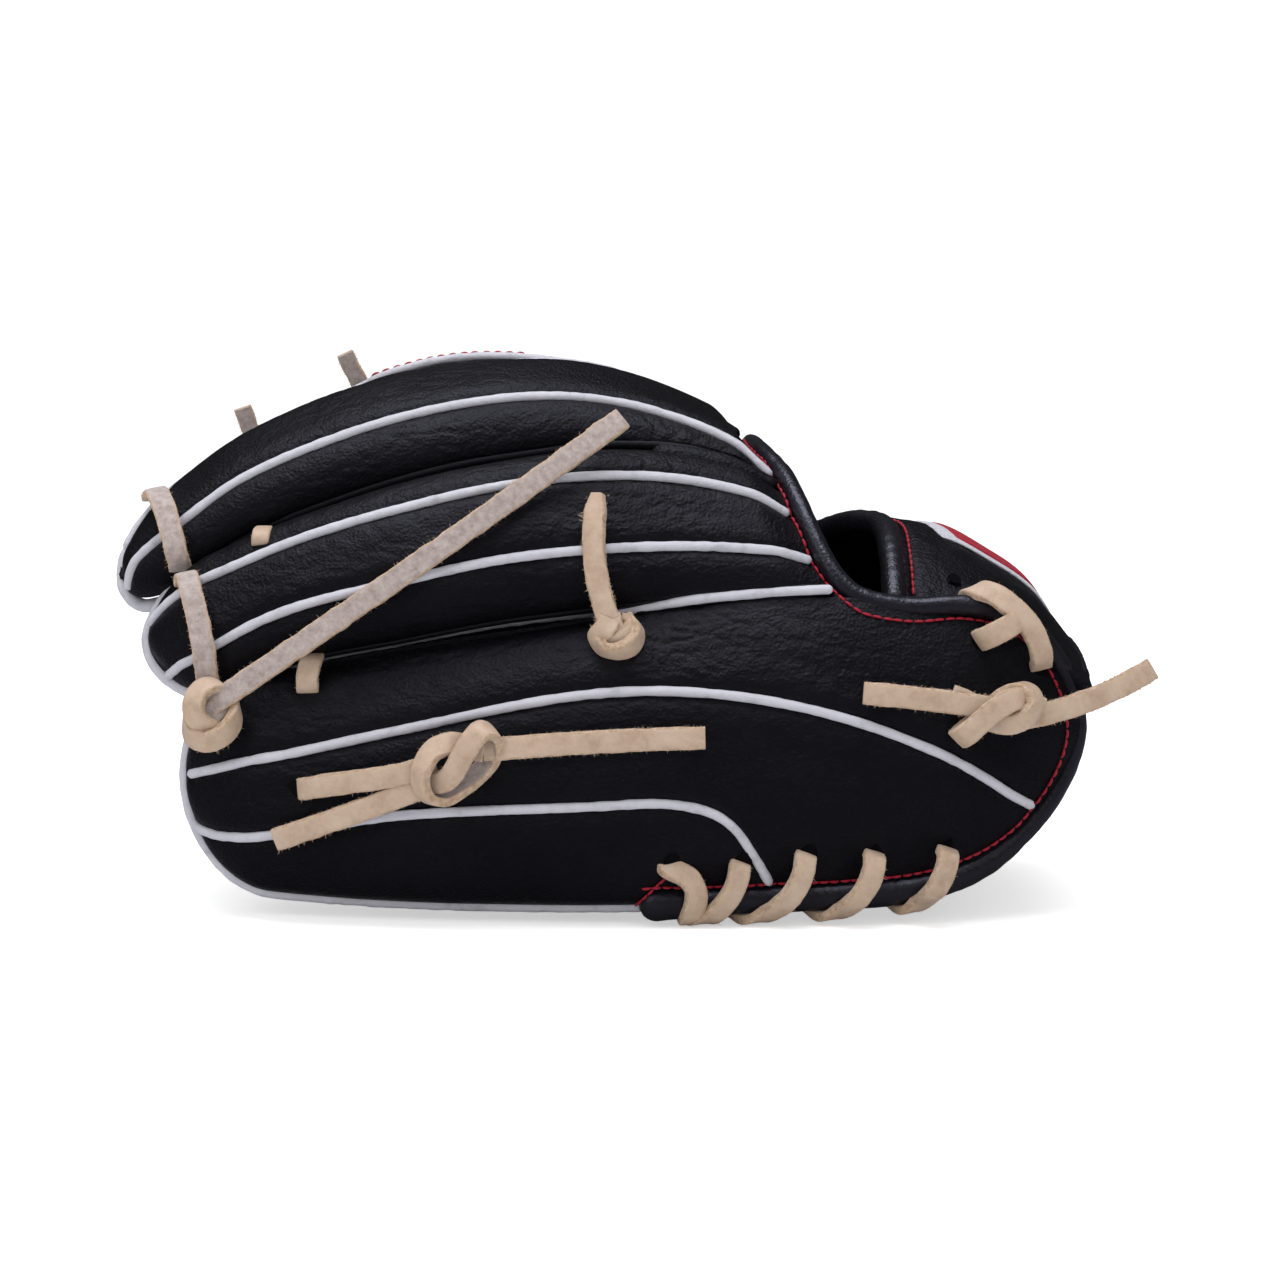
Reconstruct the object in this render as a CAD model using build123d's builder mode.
"""Infield fielder's glove with five finger stalls, resting palm down.

The glove is folded into a long arch. Its little-finger edge and its thumb edge
stand on the ground, the middle and index fingers are the top of the arch, the
fingertips point along -X and the wrist opens along +X. Every finger is a
strip: an outer (palm-side) edge, an inner edge, and a crowned back sewn from
three panels with two white welts between them.

Units are millimetres. Z = 0 is the ground and the origin is under the middle
of the glove.
"""

from build123d import *
import math
import os

os.makedirs("parts", exist_ok=True)

# Driving dimensions ---------------------------------------------------------
SKIN = 3.0          # shell leather with its lining
PALM_SKIN = 3.2     # palm leather
WELT = 3.6          # diameter of a covered welt
RIM = 4.4           # diameter of the welt round a finger's edge
ROLL = 7.0          # diameter of the rolled binding
LACE_W = 6.0        # width of a rawhide lace
LACE_T = 2.8        # thickness of a rawhide lace
STRAP_T = 4.5       # wrist strap, shell and lining

# Strips: x, then the lower edge (y, z), the upper edge (y, z) and the crown
PINKY = [
    (-124, -42, 11, -40, 72, 10),
    (-110, -46, 9, -43, 73, 13),
    (-90, -50, 7.2, -46, 74, 15),
    (-60, -54, 5.8, -49, 80, 17),
    (-20, -58, 5.4, -52, 86.5, 17.5),
    (20, -60, 6, -54, 93, 16),
    (60, -60, 7.8, -55, 96.5, 13),
    (100, -56, 11, -52, 95, 12),
    (126, -50.5, 19, -48.5, 92, 9.5),
    (142.5, -46, 30, -45, 84, 8),
]
RING = [
    (-136, -38, 66, -24, 97, 11),
    (-118, -44, 67, -28, 106, 14.5),
    (-89, -50, 77, -32, 118, 16),
    (-60, -53, 83, -34, 127.5, 17),
    (-30, -55, 89, -34, 134, 17),
    (0, -56, 93, -33, 137.5, 14),
    (29, -57, 96.5, -33, 135.5, 9),
    (66, -56, 99, -36, 122, 6),
]
MIDDLE = [
    (-146, -30, 88, -4, 114, 11),
    (-130, -29, 97, 2, 124, 14),
    (-109, -31, 111, 6, 137, 15),
    (-80, -32, 123, 9, 149, 15.5),
    (-49, -33, 132.5, 12, 155.5, 15),
    (-20, -33, 137.5, 13, 158, 14),
    (5, -32, 140, 14, 156.5, 10),
    (29, -32, 138, 12, 148, 7),
    (54, -33, 129, 9, 136, 5),
]
INDEX = [
    (-140, 0, 114, 36, 98, 11),
    (-125, 5, 123.5, 44, 105.5, 13),
    (-97, 9, 141, 54, 121.5, 14),
    (-57, 14, 154.5, 60, 133.5, 15),
    (-28, 15.5, 157.5, 61, 135.5, 14),
    (5, 16, 155.5, 59, 132.5, 10),
    (29, 14, 148.5, 55, 130, 7),
    (54, 11, 136, 48, 124, 5),
]
THUMB = [
    (-106, 44, 74, 46, 12, 10),
    (-92, 49, 78, 52, 8.6, 14),
    (-70, 53, 81, 57, 6.6, 16),
    (-30, 56, 83, 60, 5.6, 17),
    (20, 58, 90, 61, 6, 16),
    (60, 57, 96, 60, 7.8, 13),
    (100, 53, 95, 56, 11, 12),
    (126, 48.5, 92, 50.5, 19, 9.5),
    (142.5, 45, 84, 46, 30, 8),
]
# Far side of the hand's back, between the index and the thumb
THUMB_BACK = [
    (-2, 64, 124, 61, 93, 5),
    (20, 63, 122, 61, 96, 5),
    (40, 60, 118, 60, 99, 5),
    (62, 57, 113, 58, 101, 5),
]
# Where each finger ends, and how long its rounded tip is
TIP = {"pinky": (-124.5, 26), "ring": (-136.5, 20), "middle": (-146, 18),
       "index": (-140.5, 20), "thumb": (-106.5, 24)}
HEEL_END = 142.5    # where the two long walls round off at the wrist
HEEL_ROUND = 42.0
STRIP = {"pinky": PINKY, "ring": RING, "middle": MIDDLE, "index": INDEX,
         "thumb": THUMB, "thumb_back": THUMB_BACK}

# Welt lines across a strip: -1 is its lower edge, +1 its upper edge
PINKY_TOP_WELT = [(-121, 0.1), (-89, 0.32), (-59, 0.42), (-12, 0.53), (29, 0.45),
                  (72, 0.21), (105, -0.07), (128, -0.5), (135, -0.75)]
PINKY_LOW_WELT = [(-121, -0.6), (-89, -0.35), (-59, -0.24), (0, -0.24),
                  (23, -0.27), (38, -0.47), (49, -0.85)]
MIDDLE_LOW_WELT = [(-140, -0.5), (0, -0.48), (29, -0.6), (50, -0.8)]

# The hand opening and the heel share one rolled edge
OPENING = [(46, 12, 137.5), (48, -8, 136.5), (53, -27, 130), (57, -40, 121),
           (61, -48, 111), (66, -53, 102.5), (74, -55.5, 96.5)]
WALL_TOP = [(74, -55.5, 96.5), (90, -56, 93.5), (106, -56, 94), (119, -54, 91),
            (130, -50.5, 83), (138, -47, 70), (141, -45.5, 56), (137, -46.5, 42),
            (127, -50, 28), (113, -54, 17), (95, -57.5, 10.8), (74, -60, 8.8),
            (45, -61.5, 7.8), (15, -62, 4.6)]

HINGE_Y, HINGE_Z, HINGE_FALL = 60.0, 130.0, -0.2


def blend(rows, x):
    """Smooth values of a table at x, from a cubic through its rows."""
    xs = [row[0] for row in rows]
    x = min(max(x, xs[0]), xs[-1])
    i = max(j for j in range(len(xs) - 1) if xs[j] <= x)

    def slope(k, col):
        lo, hi = max(k - 1, 0), min(k + 1, len(xs) - 1)
        return (rows[hi][col] - rows[lo][col]) / (xs[hi] - xs[lo])

    h = xs[i + 1] - xs[i]
    u = (x - xs[i]) / h
    return [
        (2 * u**3 - 3 * u**2 + 1) * rows[i][k]
        + (u**3 - 2 * u**2 + u) * h * slope(i, k)
        + (3 * u**2 - 2 * u**3) * rows[i + 1][k]
        + (u**3 - u**2) * h * slope(i + 1, k)
        for k in range(1, len(rows[0]))
    ]


def round_off(strip, x):
    """How far a strip's width is left at x, inside its rounded ends."""
    share = 1.0
    if strip in TIP:
        start, length = TIP[strip]
        near = min(1.0, max(0.0, (x - start) / length))
        share = math.sqrt(1 - (1 - near) ** 2)
    if strip in ("pinky", "thumb"):
        near = min(1.0, max(0.0, (HEEL_END - x) / HEEL_ROUND))
        share = min(share, math.sqrt(1 - (1 - near) ** 2))
    return share


def across(strip, x, c, lift=0.0):
    """(y, z) on a strip's back at x, c across it, moved out by lift."""
    ay, az, by, bz, crown = blend(STRIP[strip], x)
    share = round_off(strip, x)
    width = math.hypot(by - ay, bz - az) / 2
    uy, uz = (by - ay) / (2 * width), (bz - az) / (2 * width)
    width, crown = width * share, crown * share**0.6
    rise = crown * max(0.0, 1 - c * c) ** 0.45 + lift
    my, mz = (ay + by) / 2, (az + bz) / 2
    return my + width * c * uy - rise * uz, mz + width * c * uz + rise * uy


def half_width(strip, x):
    ay, az, by, bz, _ = blend(STRIP[strip], x)
    return math.hypot(by - ay, bz - az) / 2 * round_off(strip, x)


def crown_at(strip, x, c):
    crown = blend(STRIP[strip], x)[4] * round_off(strip, x) ** 0.6
    return crown * max(0.0, 1 - c * c) ** 0.45


def at(table, x):
    return blend(table, x)[0]


def station(x):
    """The plane across the glove at x, its own x along Y and its y up."""
    return Plane(origin=(x, 0, 0), x_dir=(0, 1, 0), z_dir=(1, 0, 0))


def band(x, outer, inner):
    """One closed section: an outer curve, and an inner one back."""
    with BuildSketch(station(x)) as section:
        with BuildLine():
            Spline(*outer)
            Line(outer[-1], inner[-1])
            Spline(*reversed(inner))
            Line(inner[0], outer[0])
        make_face()
    return section.sketch.faces()[0]


def panel(strip, stations, low, high):
    """A back panel between two lines across a strip."""
    sections = []
    for x in stations:
        gap = (WELT / 2 + 0.1) / half_width(strip, x)
        lo = low(x) + gap if low(x) > -0.9 else low(x)
        hi = high(x) - gap if high(x) < 0.9 else high(x)
        places = [lo + (hi - lo) * i / 4 for i in range(5)]
        outer, inner = [], []
        for c in places:
            rise = crown_at(strip, x, c)
            outer.append(across(strip, x, c))
            inner.append(across(strip, x, c, -min(SKIN, 0.62 * rise)))
        sections.append(band(x, outer, inner))
    loft(sections=sections)


def palm(strip, stations, low, high):
    """The palm-side panel under a strip, between two lines across it."""
    sections = []
    for x in stations:
        outer, inner = [], []
        for step in range(5):
            c = low(x) + (high(x) - low(x)) * step / 4
            rise = crown_at(strip, x, c)
            sag = 1.5 * (1 - c * c)
            outer.append(across(strip, x, c, -rise - 0.5 - sag))
            inner.append(across(strip, x, c, -rise - 0.5 - sag - PALM_SKIN))
        sections.append(band(x, outer, inner))
    loft(sections=sections)


def spread(start, end, count):
    return [start + (end - start) * i / (count - 1) for i in range(count)]


def tube(points, diameter):
    """A round cord sewn in along a smooth line."""
    with BuildLine() as path:
        Spline(*points)
    with BuildSketch(Plane(origin=path.line @ 0, z_dir=path.line % 0)) as section:
        Circle(diameter / 2)
    sweep(sections=section.sketch, path=path.line)


def welt_line(strip, stations, line, sink=0.6):
    return [(x, *across(strip, x, line(x), -sink)) for x in stations]


def rim_line(strip, low_end, high_end, count=7):
    """Round a finger: along its lower edge, round the tip, and back."""
    start, length = TIP[strip]
    low = [low_end + (start + length - low_end) * i / (count - 1) for i in range(count)]
    high = [start + length + (high_end - start - length) * i / (count - 1) for i in range(count)]
    points = [(x, *across(strip, x, -1.0)) for x in low]
    for turn in (30, 60, 90, 120, 150):
        share = math.cos(math.radians(turn))
        x = start + length * (1 - math.sin(math.radians(turn)))
        ay, az, by, bz, _ = blend(STRIP[strip], x)
        my, mz, dy, dz = (ay + by) / 2, (az + bz) / 2, (by - ay) / 2, (bz - az) / 2
        points.append((x, my - dy * share, mz - dz * share))
    return points + [(x, *across(strip, x, 1.0)) for x in high]


def save(part, name):
    part.label = name
    export_step(part, "parts/" + name + ".step")
    print(name, "solids", len(part.solids()), "volume", round(part.volume))


def flat(value):
    return lambda x: value


# Finger backs -----------------------------------------------------------------
with BuildPart() as pinky_outer_panel:
    panel("pinky", [-119, -108, -88, -55, -20, 12, 30, 43],
          flat(-0.93), lambda x: at(PINKY_LOW_WELT, x))
save(pinky_outer_panel.part, "pinky_outer_panel")

with BuildPart() as pinky_back_panel:
    panel("pinky", [-119, -108, -88, -55, -20, 12, 30, 46],
          lambda x: at(PINKY_LOW_WELT, x), lambda x: at(PINKY_TOP_WELT, x))
save(pinky_back_panel.part, "pinky_back_panel")

with BuildPart() as heel_wall_panel:
    panel("pinky", [47, 62, 82, 104, 122],
          flat(-0.86), lambda x: at(PINKY_TOP_WELT, x))
save(heel_wall_panel.part, "heel_wall_panel")

with BuildPart() as pinky_inner_panel:
    panel("pinky", [-119, -108, -88, -55, -20, 20, 55, 88, 112, 130],
          lambda x: at(PINKY_TOP_WELT, x), flat(0.9))
save(pinky_inner_panel.part, "pinky_inner_panel")

FINGER_STATIONS = {
    "ring": [-132, -124, -110, -85, -55, -20, 10, 36, 56],
    "middle": [-142, -135, -120, -95, -60, -25, 5, 28, 43],
    "index": [-136, -128, -112, -88, -58, -25, 5, 26, 42],
}
FINGER_WELTS = {
    "ring": (flat(-0.45), flat(0.5)),
    "middle": (lambda x: at(MIDDLE_LOW_WELT, x), flat(0.48)),
    "index": (flat(-0.48), flat(0.48)),
}

with BuildPart() as ring_lower_panel:
    panel("ring", FINGER_STATIONS["ring"], flat(-0.93), FINGER_WELTS["ring"][0])
save(ring_lower_panel.part, "ring_lower_panel")

with BuildPart() as ring_back_panel:
    panel("ring", FINGER_STATIONS["ring"], *FINGER_WELTS["ring"])
save(ring_back_panel.part, "ring_back_panel")

with BuildPart() as ring_upper_panel:
    panel("ring", FINGER_STATIONS["ring"], FINGER_WELTS["ring"][1], flat(0.91))
save(ring_upper_panel.part, "ring_upper_panel")

with BuildPart() as middle_lower_panel:
    panel("middle", FINGER_STATIONS["middle"], flat(-0.93), FINGER_WELTS["middle"][0])
save(middle_lower_panel.part, "middle_lower_panel")

with BuildPart() as middle_back_panel:
    panel("middle", FINGER_STATIONS["middle"], *FINGER_WELTS["middle"])
save(middle_back_panel.part, "middle_back_panel")

with BuildPart() as middle_upper_panel:
    panel("middle", FINGER_STATIONS["middle"], FINGER_WELTS["middle"][1], flat(0.91))
save(middle_upper_panel.part, "middle_upper_panel")

with BuildPart() as index_lower_panel:
    panel("index", FINGER_STATIONS["index"], flat(-0.91), FINGER_WELTS["index"][0])
save(index_lower_panel.part, "index_lower_panel")

with BuildPart() as index_back_panel:
    panel("index", FINGER_STATIONS["index"], *FINGER_WELTS["index"])
save(index_back_panel.part, "index_back_panel")

with BuildPart() as index_outer_panel:
    panel("index", FINGER_STATIONS["index"], FINGER_WELTS["index"][1], flat(0.93))
save(index_outer_panel.part, "index_outer_panel")

# Thumb side -------------------------------------------------------------------
THUMB_STATIONS = [-101, -92, -75, -45, -10, 25, 60, 92, 114, 130]

with BuildPart() as thumb_inner_panel:
    panel("thumb", THUMB_STATIONS, flat(-0.9), flat(-0.38))
save(thumb_inner_panel.part, "thumb_inner_panel")

with BuildPart() as thumb_back_panel:
    panel("thumb", THUMB_STATIONS, flat(-0.38), flat(0.38))
save(thumb_back_panel.part, "thumb_back_panel")

with BuildPart() as thumb_outer_panel:
    panel("thumb", THUMB_STATIONS, flat(0.38), flat(0.93))
save(thumb_outer_panel.part, "thumb_outer_panel")

with BuildPart() as thumb_root_panel:
    root_sections = []
    for x in (2, 20, 38, 54):
        outer = [across("thumb_back", x, c, 0) for c in (-0.95, -0.5, 0, 0.5, 0.8)]
        inner = [across("thumb_back", x, c, -crown_at("thumb_back", x, c) * 0.6)
                 for c in (-0.95, -0.5, 0, 0.5, 0.8)]
        root_sections.append(band(x, outer, inner))
    loft(sections=root_sections)
save(thumb_root_panel.part, "thumb_root_panel")

# Palm -------------------------------------------------------------------------
PALM_STATIONS = {
    "pinky": [-117, -106, -85, -50, -10, 30, 70, 105, 128],
    "ring": [-130, -120, -100, -70, -40, -10, 15, 28],
    "middle": [-140, -132, -115, -90, -55, -25, 5, 24],
    "index": [-134, -125, -108, -85, -55, -25, 5, 24],
    "thumb": [-100, -90, -72, -45, -10, 30, 70, 105, 128],
}

# Behind the crotch the two outer stalls open above the palm, into the hand space
STALL_MOUTH = [(-124, 0.95), (30, 0.95), (70, 0.4), (142, 0.35)]

with BuildPart() as palm_pinky:
    palm("pinky", PALM_STATIONS["pinky"], flat(-0.95), lambda x: at(STALL_MOUTH, x))
save(palm_pinky.part, "palm_pinky")

with BuildPart() as palm_ring:
    palm("ring", PALM_STATIONS["ring"], flat(-0.9), flat(0.9))
save(palm_ring.part, "palm_ring")

with BuildPart() as palm_middle:
    palm("middle", PALM_STATIONS["middle"], flat(-0.88), flat(0.88))
save(palm_middle.part, "palm_middle")

with BuildPart() as palm_index:
    palm("index", PALM_STATIONS["index"], flat(-0.88), flat(0.88))
save(palm_index.part, "palm_index")

with BuildPart() as palm_thumb:
    palm("thumb", PALM_STATIONS["thumb"], lambda x: -at(STALL_MOUTH, x), flat(0.95))
save(palm_thumb.part, "palm_thumb")

# The pocket's roof, which the hand lies on: x, foot (y, z), top z, end (y, z)
PALM_ROOF = [
    (32, -46, 96, 131, 30, 127),
    (55, -46, 82, 106, 30, 102),
    (85, -45, 62, 78, 26, 73),
    (115, -42, 50, 60, 22, 56),
    (134, -38, 42, 50, 18, 47),
]

with BuildPart() as palm_centre:
    roof_sections = []
    for x, fy, fz, top, ey, ez in PALM_ROOF:
        outer = [(fy, fz), (fy * 0.72, fz + 0.66 * (top - fz)), (fy * 0.3, top - 1.5),
                 (2, top), (ey, ez)]
        inner = [(fy + PALM_SKIN * 0.8, fz - PALM_SKIN * 0.6)] + [
            (y, z - PALM_SKIN) for y, z in outer[1:]]
        roof_sections.append(band(x, outer, inner))
    loft(sections=roof_sections)
save(palm_centre.part, "palm_centre")

# Felt pads between back and palm at the heel -----------------------------------
def heel_pad(strip, low, high):
    sections = []
    for x in (66, 80, 100, 118):
        outer, inner = [], []
        for c in spread(low, high, 5):
            rise = crown_at(strip, x, c)
            outer.append(across(strip, x, c, -SKIN - 0.8))
            inner.append(across(strip, x, c, -rise + 0.6))
        sections.append(band(x, outer, inner))
    loft(sections=sections)


with BuildPart() as heel_pad_pinky:
    heel_pad("pinky", -0.6, 0.3)
save(heel_pad_pinky.part, "heel_pad_pinky")

with BuildPart() as heel_pad_thumb:
    heel_pad("thumb", -0.3, 0.6)
save(heel_pad_thumb.part, "heel_pad_thumb")

# Welts on the backs --------------------------------------------------------------
with BuildPart() as pinky_welts:
    tube(welt_line("pinky", [-119, -100, -75, -45, -12, 20, 50, 80, 105, 124],
                   lambda x: at(PINKY_TOP_WELT, x)), WELT)
    tube(welt_line("pinky", [-119, -100, -75, -40, -5, 18, 30, 39, 45],
                   lambda x: at(PINKY_LOW_WELT, x)), WELT)
save(pinky_welts.part, "pinky_welts")

with BuildPart() as ring_welts:
    for line in FINGER_WELTS["ring"]:
        tube(welt_line("ring", [-131, -120, -100, -70, -35, 0, 30, 54], line), WELT)
save(ring_welts.part, "ring_welts")

with BuildPart() as middle_welts:
    for line in FINGER_WELTS["middle"]:
        tube(welt_line("middle", [-141, -128, -105, -75, -40, -5, 20, 42], line), WELT)
save(middle_welts.part, "middle_welts")

with BuildPart() as index_welts:
    for line in FINGER_WELTS["index"]:
        tube(welt_line("index", [-135, -122, -100, -70, -35, -5, 20, 40], line), WELT)
save(index_welts.part, "index_welts")

with BuildPart() as thumb_welts:
    for line in (flat(-0.38), flat(0.38)):
        tube(welt_line("thumb", [-101, -85, -55, -20, 20, 60, 95, 122], line), WELT)
save(thumb_welts.part, "thumb_welts")

# Welts round the finger edges -----------------------------------------------------
RIM_ENDS = {"pinky": (12, 10), "ring": (10, 14), "middle": (14, 10),
            "index": (10, -10), "thumb": (-14, 12)}

with BuildPart() as pinky_rim:
    tube(rim_line("pinky", *RIM_ENDS["pinky"]), RIM)
save(pinky_rim.part, "pinky_rim")

with BuildPart() as ring_rim:
    tube(rim_line("ring", *RIM_ENDS["ring"]), RIM)
save(ring_rim.part, "ring_rim")

with BuildPart() as middle_rim:
    tube(rim_line("middle", *RIM_ENDS["middle"]), RIM)
save(middle_rim.part, "middle_rim")

with BuildPart() as index_rim:
    tube(rim_line("index", *RIM_ENDS["index"]), RIM)
save(index_rim.part, "index_rim")

with BuildPart() as thumb_rim:
    tube(rim_line("thumb", *RIM_ENDS["thumb"]), RIM)
save(thumb_rim.part, "thumb_rim")

# Rolled edges ------------------------------------------------------------------------
OPENING_FAR = [(46, 26, 136), (49, 38, 131.5), (53, 46, 126)]
THUMB_TOP = [(57, 59, 112), (62, 59.5, 106), (70, 58.5, 100)]


def mirrored(points):
    return [(x, -y, z) for x, y, z in points]


with BuildPart() as opening_binding:
    tube(list(reversed(OPENING_FAR)) + OPENING + WALL_TOP[1:], ROLL)
save(opening_binding.part, "opening_binding")

with BuildPart() as thumb_binding:
    tube(THUMB_TOP + mirrored(WALL_TOP[1:]), ROLL)
save(thumb_binding.part, "thumb_binding")

# Wrist strap: x, top of the arch, z of its ends, y of its far end ---------------------
STRAP = [
    (60, 114, 98, 38),
    (72, 116, 97, 38),
    (85, 116, 94, 37),
    (103, 113, 91, 36),
    (118, 105, 86, 35),
    (130, 96.5, 80, 33),
    (139, 85, 74, 30),
    (145.5, 76.5, 68, 28),
]
STRAP_NEAR = -43.0
STRAP_HALF = 50.0
# Front edge of the strap seen from above: it swings forward on the thumb side
STRAP_FRONT = [(87, -46), (87, -30), (86, -10), (81, 5), (74, 17), (67, 27), (61, 36)]


def strap_z(x, y):
    top, end = blend(STRAP, x)[:2]
    return top - (top - end) * (abs(y) / STRAP_HALF) ** 2.2


def strap_section(x, near, far, low, high):
    places = spread(near, far, 7)
    return band(x, [(y, strap_z(x, y) + high) for y in places],
                [(y, strap_z(x, y) + low) for y in places])


with BuildPart() as wrist_strap:
    loft(sections=[strap_section(row[0], STRAP_NEAR, row[3], -STRAP_T, 0) for row in STRAP])
    with BuildSketch(Plane.XY):
        with BuildLine():
            front = Spline(*[(x + ROLL / 2, y) for x, y in STRAP_FRONT])
            Polyline(front @ 1, (66, 60), (150, 60), (150, -60), (90.5, -60), front @ 0)
        make_face()
    extrude(amount=200, mode=Mode.INTERSECT)
save(wrist_strap.part, "wrist_strap")

with BuildPart() as strap_binding:
    tube([(x, y, strap_z(x, y) - STRAP_T / 2) for x, y in STRAP_FRONT], ROLL)
save(strap_binding.part, "strap_binding")

with BuildPart() as strap_emblem:
    loft(sections=[strap_section(x, -10, 12, 0.5, 1.5) for x in (100, 112, 124, 134)])
save(strap_emblem.part, "strap_emblem")

# Web between index and thumb: two bars and a post ----------------------------------------
def web_piece(rows, thick):
    """A bowed strip: rows of x, then its upper, middle and lower (y, z)."""
    sections = []
    for x, upper, middle, lower in rows:
        inner = [(y - thick, z) for y, z in (upper, middle, lower)]
        sections.append(band(x, [upper, middle, lower], inner))
    loft(sections=sections)


with BuildPart() as web_top_bar:
    web_piece([(-114, (54, 104), (57, 93), (54, 82)),
               (-106, (57, 107), (60.5, 94), (56, 81.5)),
               (-94, (60, 112), (63, 97), (57, 82))], 6)
save(web_top_bar.part, "web_top_bar")

with BuildPart() as web_base_bar:
    web_piece([(-36, (67, 126), (70, 107), (62, 88)),
               (-24, (68, 127), (70.5, 108), (63, 90)),
               (-12, (68, 126), (70, 109), (63, 92))], 6)
save(web_base_bar.part, "web_base_bar")

with BuildPart() as web_post:
    web_piece([(-93, (64, 108), (65, 98), (63, 88)),
               (-65, (68, 117), (69.5, 104), (66, 91)),
               (-37, (70.5, 121), (72, 107), (68, 93))], 5)
save(web_post.part, "web_post")

# Rawhide laces -----------------------------------------------------------------------------
def thong(points, normals, width=LACE_W, thick=LACE_T):
    """A flat lace through points, its broad face along the normals."""
    sections = []
    for i, (point, normal) in enumerate(zip(points, normals)):
        before, after = points[max(i - 1, 0)], points[min(i + 1, len(points) - 1)]
        along = Vector(*after) - Vector(*before)
        side = along.cross(Vector(*normal))
        with BuildSketch(Plane(origin=point, x_dir=side, z_dir=along)) as section:
            Rectangle(width, thick)
        sections.append(section.sketch.faces()[0])
    loft(sections=sections)


def tail(name, points, normal):
    """A free lace end: straight runs joined by arcs as large as the runs allow."""
    corners = [Vector(*p) for p in points]
    radii = []
    for a, b, c in zip(corners, corners[1:], corners[2:]):
        turn = math.radians((b - a).get_angle(c - b))
        radii.append(0.45 * min((b - a).length, (c - b).length) / math.tan(turn / 2))
    with BuildLine() as path:
        FilletPolyline(*points, radius=radii)
    start = Plane(origin=path.line @ 0, z_dir=path.line % 0,
                  x_dir=(path.line % 0).cross(Vector(*normal)))
    with BuildSketch(start) as section:
        Rectangle(LACE_W, LACE_T)
    sweep(sections=section.sketch, path=path.line)
    length = sum(edge.length for edge in path.edges())
    print(name, "radii", [round(r) for r in radii], "length", round(length, 1),
          "section x length", round(LACE_W * LACE_T * length))


def knot(centre, size, turn):
    """The plain outer shape of a tied knot."""
    with Locations(Location(centre, turn)):
        Box(*size)
    fillet([*edges()], min(size) * 0.42)


OUT = (0, -1, 0)

with BuildPart() as tip_lace:
    thong([(-135.5, -15.5, 125), (-131.5, -28, 119.5), (-128, -34, 111.5), (-126.5, -34.5, 104.5)],
          [(0, -0.6, 0.8), (0, -0.8, 0.6), (0, -1, 0.2), (0, -1, 0)])
    thong([(-124.5, -37, 104.5), (-120.5, -49, 97), (-117, -54.5, 84), (-115.5, -54.5, 73)],
          [(0, -0.6, 0.8), (0, -0.85, 0.5), (0, -1, 0), (0, -1, 0)])
save(tip_lace.part, "tip_lace")

with BuildPart() as tip_knot:
    knot((-116.5, -57, 60.5), (17, 9, 18), (0, 0, -8))
save(tip_knot.part, "tip_knot")

LONG_TAIL = [(-113, -59, 66), (-75, -65, 92), (-33, -65, 121), (6, -49, 148.5)]
with BuildPart() as long_tail:
    tail("long_tail", LONG_TAIL, OUT)
save(long_tail.part, "long_tail")

with BuildPart() as gap_laces:
    thong([(-105, -42, 111), (-101, -44.5, 114.5), (-97.5, -44, 118)],
          [(0, -1, 0.4)] * 3)
    thong([(-88.5, -58, 69), (-88, -57.5, 74), (-87.5, -55, 79)],
          [OUT, OUT, OUT])
save(gap_laces.part, "gap_laces")

with BuildPart() as crotch_knot:
    knot((4, -66, 86), (15, 8, 11), (0, 20, 0))
save(crotch_knot.part, "crotch_knot")

CROTCH_TAIL = [(2, -66, 91), (-4.5, -66.5, 109), (-1, -59.5, 127)]
with BuildPart() as crotch_tail:
    tail("crotch_tail", CROTCH_TAIL, OUT)
save(crotch_tail.part, "crotch_tail")

with BuildPart() as pinky_strand:
    thong([(-88.5, -66, 41), (-72, -69.5, 44), (-55, -73, 47)], [OUT, OUT, OUT])
save(pinky_strand.part, "pinky_strand")

with BuildPart() as pinky_knot:
    knot((-43, -75.5, 48), (24, 9, 16), (0, -32, 0))
save(pinky_knot.part, "pinky_knot")

PINKY_TAIL_LONG = [(-34, -76, 54), (-2, -77, 57), (30, -75.5, 57.5)]
with BuildPart() as pinky_tail_long:
    tail("pinky_tail_long", PINKY_TAIL_LONG, OUT)
save(pinky_tail_long.part, "pinky_tail_long")

PINKY_TAIL_SHORT = [(-53, -75.5, 42.5), (-74, -71, 34), (-95.5, -65, 26)]
with BuildPart() as pinky_tail_short:
    tail("pinky_tail_short", PINKY_TAIL_SHORT, OUT)
save(pinky_tail_short.part, "pinky_tail_short")

with BuildPart() as wrist_strand:
    thong([(106, -55.5, 99), (114, -60.5, 96.5), (123, -60, 90), (129.5, -59, 82), (132.5, -58.5, 74)],
          [(0, -0.6, 0.8), (0, -0.9, 0.4), OUT, OUT, OUT])
    thong([(108.5, -63, 82.5), (114, -62.5, 85), (118.5, -62.5, 87)], [OUT, OUT, OUT])
save(wrist_strand.part, "wrist_strand")

with BuildPart() as wrist_knot:
    knot((116.5, -67.5, 63), (26, 9, 15), (0, -14, 0))
save(wrist_knot.part, "wrist_knot")

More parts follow.
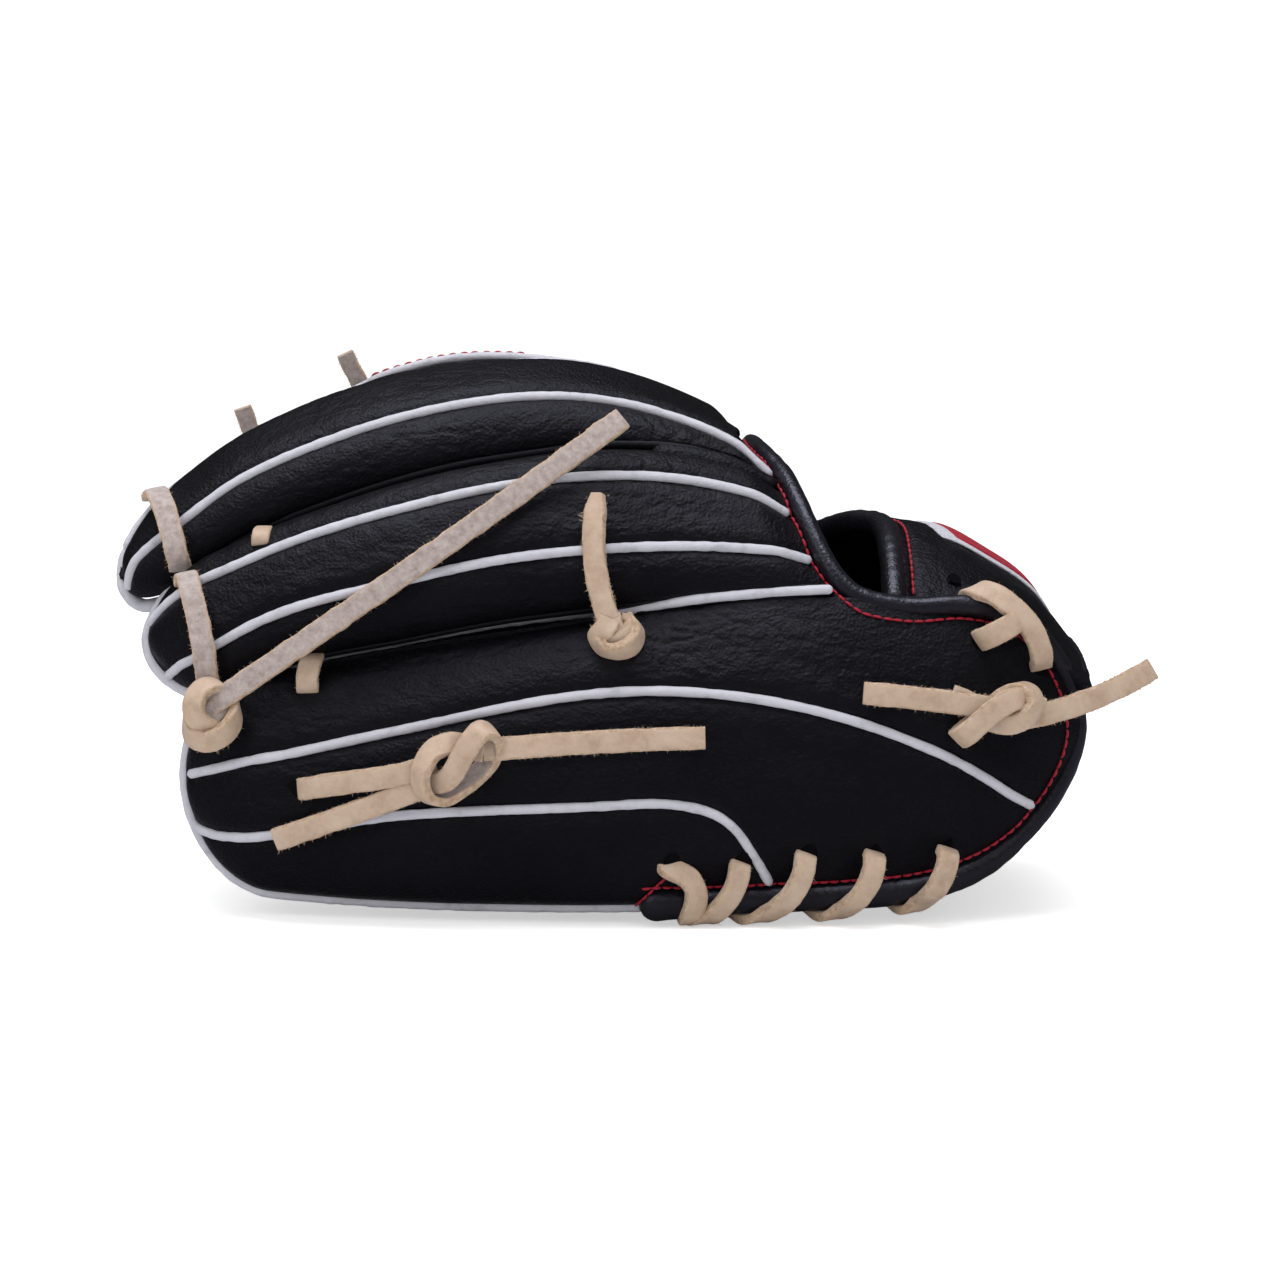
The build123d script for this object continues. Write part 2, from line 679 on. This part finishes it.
WRIST_TAIL_FRONT = [(112, -69, 65.5), (94, -70.5, 68.5), (76, -71, 70)]
with BuildPart() as wrist_tail_front:
    tail("wrist_tail_front", WRIST_TAIL_FRONT, OUT)
save(wrist_tail_front.part, "wrist_tail_front")

WRIST_TAIL_BACK = [(122, -66.5, 62), (143, -60, 64.5), (162, -53, 75)]
with BuildPart() as wrist_tail_back:
    tail("wrist_tail_back", WRIST_TAIL_BACK, OUT)
save(wrist_tail_back.part, "wrist_tail_back")

# Heel laces: x of each hole, its height, and x where the lace passes under the edge
HEEL_LOOPS = [(22, 20, 28), (38.5, 19, 25), (58, 25, 47), (79, 25, 69), (100, 25, 92)]


def heel_loops(loops, side):
    """Flat laces from holes above the rolled edge, round it and underneath."""
    edge = [(x, y, z) for x, y, z in reversed(WALL_TOP) if z < 20]
    reach = ROLL / 2 + LACE_T / 2 + 0.1
    for hole_x, hole_z, under_x in loops:
        mid_x = (hole_x + under_x) / 2
        y, z = (blend(edge, x)[k] for x, k in ((mid_x, 0), (under_x, 1)))
        wall = across("pinky", hole_x, (hole_z - 50) / 45)[0] - LACE_T / 2 - 0.4
        route = [(hole_x, wall, hole_z), (hole_x * 0.7 + mid_x * 0.3, min(wall, y - reach), 13),
                 (mid_x, y - reach, z), (mid_x * 0.4 + under_x * 0.6, y - reach * 0.7, z - reach * 0.7),
                 (under_x, y, max(z - reach, LACE_T / 2 + 0.4))]
        facing = [(0, -1, 0), (0, -1, 0), (0, -1, 0), (0, -0.7, -0.7), (0, 0, -1)]
        thong([(a, side * b, c) for a, b, c in route], [(a, side * b, c) for a, b, c in facing])


with BuildPart() as heel_lace_pinky:
    heel_loops(HEEL_LOOPS, 1)
save(heel_lace_pinky.part, "heel_lace_pinky")

with BuildPart() as heel_lace_thumb:
    heel_loops(HEEL_LOOPS[2:], -1)
save(heel_lace_thumb.part, "heel_lace_thumb")

with BuildPart() as web_lace_tabs:
    thong([(-110.5, 34, 138), (-112.5, 33, 142.5), (-114.5, 32, 148.5)], [OUT] * 3)
    thong([(-77.5, 40, 155), (-80, 39, 160), (-82.5, 38, 165.5)], [OUT] * 3)
save(web_lace_tabs.part, "web_lace_tabs")
